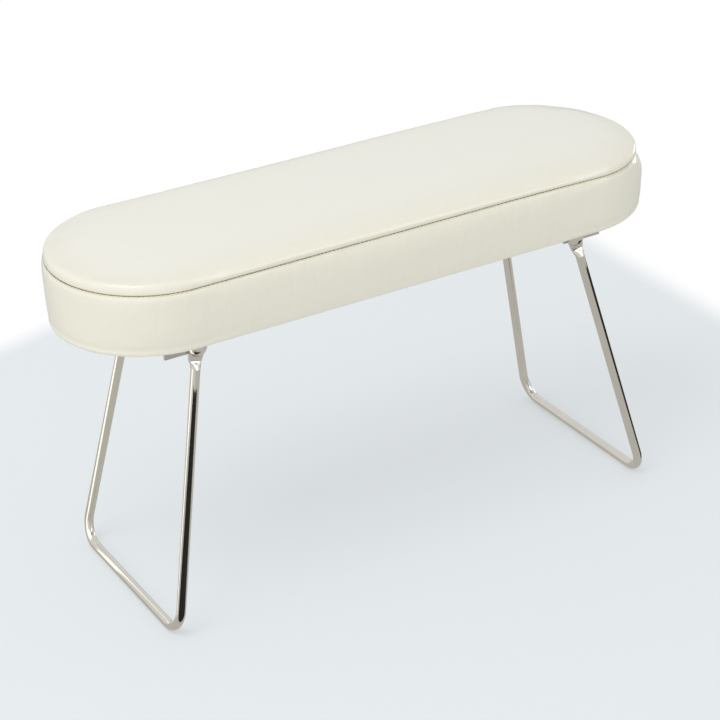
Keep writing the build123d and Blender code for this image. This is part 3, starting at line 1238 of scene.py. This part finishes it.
@dataclass
class Lining:
    """The cloth stapled over the underside of the board, lapping over the leather hem."""

    thickness: float = 0.6 * MM
    lap: float = 8.0 * MM
    slope: float = 4.0 * MM
    slack: float = 0.16 * MM         # how far the cloth hangs off the board
    usual_slack: float = 0.6         # share of it that is there without the crumples
    crumple: tuple[float, float] = (30.0 * MM, 17.0 * MM)
    fine_crumple: tuple[float, float] = (11.0 * MM, 24.0 * MM)
    fine_share: float = 0.5
    columns: int = 160
    rows: int = 44

    def __post_init__(self) -> None:
        """Reads the cloth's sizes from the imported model."""
        low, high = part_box("bottom_cover")
        self.radius = high.y
        self.straight = high.x - high.y
        self.level = low.z + self.thickness / 2
        self.rise = high.z - low.z - self.thickness
        self.brackets = [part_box(f"bracket_{side.value}") for side in Side]

    def height(self, x: float, y: float) -> float:
        """Height of the cloth: low over the hem and under the brackets, against the board elsewhere.

        Args:
            x: Place along the rest.
            y: Place across the rest.

        Returns:
            The height of the middle of the cloth.
        """
        inside = self.radius - math.hypot(max(abs(x) - self.straight, 0), y)
        lifted = eased((inside - self.lap) / self.slope)
        for low, high in self.brackets:
            out_x = max(low.x - x, x - high.x, 0)
            out_y = max(low.y - y, y - high.y, 0)
            lifted *= eased(math.hypot(out_x, out_y) / self.slope)
        hang = ripple(x, y, self.crumple, 2.5) + self.fine_share * ripple(x, y, self.fine_crumple, 8.5)
        return self.level + lifted * (self.rise - self.slack * (self.usual_slack + hang))

    def build(self, finishes: Finishes) -> bpy.types.Object:
        """Makes the cloth.

        Args:
            finishes: The rest's finishes.

        Returns:
            The piece.
        """
        net = bmesh.new()
        grid = []
        for row in range(self.rows + 1):
            y = self.radius * math.sin(math.pi * (row / self.rows - 0.5))
            reach = self.straight + math.sqrt(max(self.radius**2 - y**2, 0.0))
            places = [reach * (2 * column / self.columns - 1) for column in range(self.columns + 1)]
            grid.append([net.verts.new((x, y, self.height(x, y))) for x in places])
        for lower, upper in zip(grid, grid[1:]):
            for k in range(self.columns):
                net.faces.new((lower[k], upper[k], upper[k + 1], lower[k + 1]))
        piece = Bench.add_net("lining", net)
        Bench.thicken(piece, self.thickness, 0.0)
        Bench.bake_modifiers(piece)
        Bench.smooth(piece, 40.0)
        Bench.dress(piece, finishes.cloth)
        Bench.stand_for(piece, "bottom_cover", "lining_cloth")
        return piece


# --------------------------------------------------------------------------------------------
# Studio


@dataclass(frozen=True)
class Lamp:
    """A soft square lamp that faces the rest."""

    name: str
    spot: tuple[float, float, float]
    size: float
    power: float                     # in watts
    colour: Colour = (1.0, 1.0, 1.0)
    shows_in_gloss: bool = True
    lights_matt: bool = True
    aim: tuple[float, float, float] = (0.0, 0.0, 0.1)

    def hang(self) -> None:
        """Puts the lamp in the scene."""
        data = bpy.data.lights.new(self.name, "AREA")
        data.size = self.size
        data.energy = self.power
        data.color = self.colour
        lamp = bpy.data.objects.new(self.name, data)
        lamp.location = self.spot
        lamp.visible_glossy = self.shows_in_gloss
        lamp.visible_diffuse = self.lights_matt
        ahead = Vector(self.aim) - Vector(self.spot)
        lamp.rotation_euler = ahead.to_track_quat("-Z", "Y").to_euler()
        bpy.context.scene.collection.objects.link(lamp)


@dataclass(frozen=True)
class Card:
    """A narrow card beside a post, seen only as a streak in its metal, and only from its front."""

    name: str
    side: Side
    row: Row
    heading: float                   # degrees round from X, as seen from the post
    width: float
    top: float
    glow: Colour
    gap: float = 25 * MM             # between the post's middle and the card
    foot: float = 0.5 * MM
    post: tuple[float, float, float] = (129.5 * MM, 39.0 * MM, 75.0 * MM)
    post_lean: float = 12.8          # degrees

    def place(self) -> Matrix:
        """Where the card stands: beside its post, leaning with it and turned to face it."""
        x, y, z = self.post
        turn = math.radians(self.heading)
        lean = math.radians(-self.side.sign * self.post_lean)
        middle = (self.top + self.foot) / 2
        x = self.side.sign * x + (middle - z) * math.tan(lean)
        spot = (x + self.gap * math.cos(turn), self.row.sign * y + self.gap * math.sin(turn), middle)
        return (
            Matrix.Translation(spot)
            @ Matrix.Rotation(lean, 4, "Y")
            @ Matrix.Rotation(turn - math.pi / 2, 4, "Z")
            @ Matrix.Rotation(math.pi / 2, 4, "X")
            @ Matrix.Diagonal((self.width, self.top - self.foot, 1, 1))
        )

    def paper(self) -> bpy.types.Material:
        """A material that glows on its front and is clear on its back."""
        paper = bpy.data.materials.new(self.name)
        paper.use_nodes = True
        recipe = Recipe(paper.node_tree)
        back = recipe.add("NewGeometry").outputs["Backfacing"]
        clear = recipe.add("BsdfTransparent").outputs[0]
        recipe.surface(recipe.mixed(back, recipe.glow(self.glow), clear))
        return paper

    def stand(self) -> None:
        """Puts the card in the scene."""
        bpy.ops.object.select_all(action="DESELECT")
        bpy.ops.mesh.primitive_plane_add(size=1)
        card = bpy.context.object
        card.name = self.name
        card.matrix_world = self.place()
        Bench.dress(card, self.paper())
        card.visible_camera = False
        card.visible_diffuse = False
        card.visible_shadow = False
        card.visible_transmission = False


@dataclass
class Studio:
    """Plain pale floor, soft lights, narrow cards that the bright metal mirrors, and the camera."""

    lens: float = 110.64
    sensor: float = 36.0
    yaw: float = 29.12
    pitch: float = 27.39
    roll: float = -2.59
    stand: tuple[float, float, float] = (-516.8 * MM, -926.06 * MM, 641.99 * MM)
    floor_half: float = 4.0
    room_light: float = 0.82
    room_colour: Colour = (0.985, 0.985, 0.995)
    white: Colour = (1.5, 1.48, 1.42)
    black: Colour = (0.02, 0.02, 0.02)

    def build(self, groups: SharedGroups) -> None:
        """Sets up the whole studio.

        Args:
            groups: The shared shader groups.
        """
        self.camera()
        self.floor(groups)
        self.sky()
        for lamp in self.lamps():
            lamp.hang()
        for card in self.cards():
            card.stand()

    def lamps(self) -> tuple[Lamp, ...]:
        """The key lamp, a warm fill from the front, and two that only make glints."""
        warm = (1.0, 0.975, 0.92)
        return (
            Lamp("key", (-0.9, -0.3, 1.7), 1.0, 9.0, (1.0, 1.0, 0.99)),
            Lamp("front_fill", (-1.7, -1.7, 0.55), 1.2, 11.0, warm, shows_in_gloss=False),
            Lamp("end_glint", (1.15, 0.40, 0.16), 0.30, 0.7, lights_matt=False),
            Lamp("seam_glint", (0.50, -0.68, 0.80), 0.60, 1.8, lights_matt=False),
        )

    def cards(self) -> tuple[Card, ...]:
        """White, black and grey cards beside three of the four posts."""
        left, right = Side.LEFT, Side.RIGHT
        front, back = Row.FRONT, Row.BACK
        grey = StudioFloor.mirrored
        return (
            Card("white_front", left, front, 174.0, 14 * MM, 160 * MM, self.white),
            Card("white_back", left, back, 152.0, 18 * MM, 160 * MM, self.white),
            Card("black_front", left, front, 263.0, 46 * MM, 128 * MM, self.black),
            Card("grey_back", left, back, 270.0, 34 * MM, 160 * MM, grey, gap=32 * MM),
            Card("black_end", right, front, -24.0, 42 * MM, 130 * MM, self.black),
        )

    def camera(self) -> None:
        """Places the camera by its heading, dip and tilt."""
        yaw, pitch, roll = (math.radians(angle) for angle in (self.yaw, self.pitch, self.roll))
        level_ahead = math.cos(pitch)
        ahead = Vector((math.sin(yaw) * level_ahead, math.cos(yaw) * level_ahead, -math.sin(pitch)))
        level = Vector((math.cos(yaw), -math.sin(yaw), 0))
        upright = level.cross(ahead)
        right = math.cos(roll) * level + math.sin(roll) * upright
        up = -math.sin(roll) * level + math.cos(roll) * upright
        turn = Matrix((right, up, -ahead)).transposed().to_4x4()
        data = bpy.data.cameras.new("camera")
        data.lens = self.lens
        data.sensor_width = self.sensor
        data.clip_end = 50.0
        camera = bpy.data.objects.new("camera", data)
        camera.matrix_world = Matrix.Translation(self.stand) @ turn
        bpy.context.scene.collection.objects.link(camera)
        bpy.context.scene.camera = camera

    def floor(self, groups: SharedGroups) -> None:
        """Lays the floor."""
        bpy.ops.object.select_all(action="DESELECT")
        bpy.ops.mesh.primitive_plane_add(size=2 * self.floor_half, location=(0, 0, 0))
        floor = bpy.context.object
        floor.name = "studio_floor"
        Bench.dress(floor, StudioFloor("studio_floor", (0.40, 0.42, 0.43), 0.20).build(groups))

    def sky(self) -> None:
        """Lights the room evenly from all round, and leaves it white behind the rest."""
        world = bpy.data.worlds.new("studio")
        bpy.context.scene.world = world
        world.use_nodes = True
        recipe = Recipe(world.node_tree)
        room = world.node_tree.nodes["Background"]
        recipe.put(room, {"Strength": self.room_light, "Color": (*self.room_colour, 1)})
        backdrop = recipe.put(recipe.add("Background"), {"Strength": 1.0, "Color": (1.0, 1.0, 1.0, 1)})
        ray = recipe.add("LightPath").outputs["Is Camera Ray"]
        recipe.surface(recipe.mixed(ray, room.outputs[0], backdrop.outputs[0]))
        bpy.context.scene.view_settings.view_transform = "Standard"


def main() -> None:
    """Builds the whole scene in order and reports each piece."""
    logging.basicConfig(level=logging.INFO, format="%(name)s: %(message)s")
    finishes = Finishes()
    Studio().build(finishes.groups)
    pad = StuffedPad()
    pieces = pad.build(finishes)
    pieces.append(Seam(pad).build(finishes))
    pieces.append(Lining().build(finishes))
    for piece in pieces:
        LOG.info("%s: %d faces", piece.name, len(piece.data.polygons))
    CarriedOver().dress(finishes)


if __name__ == "__main__":
    main()
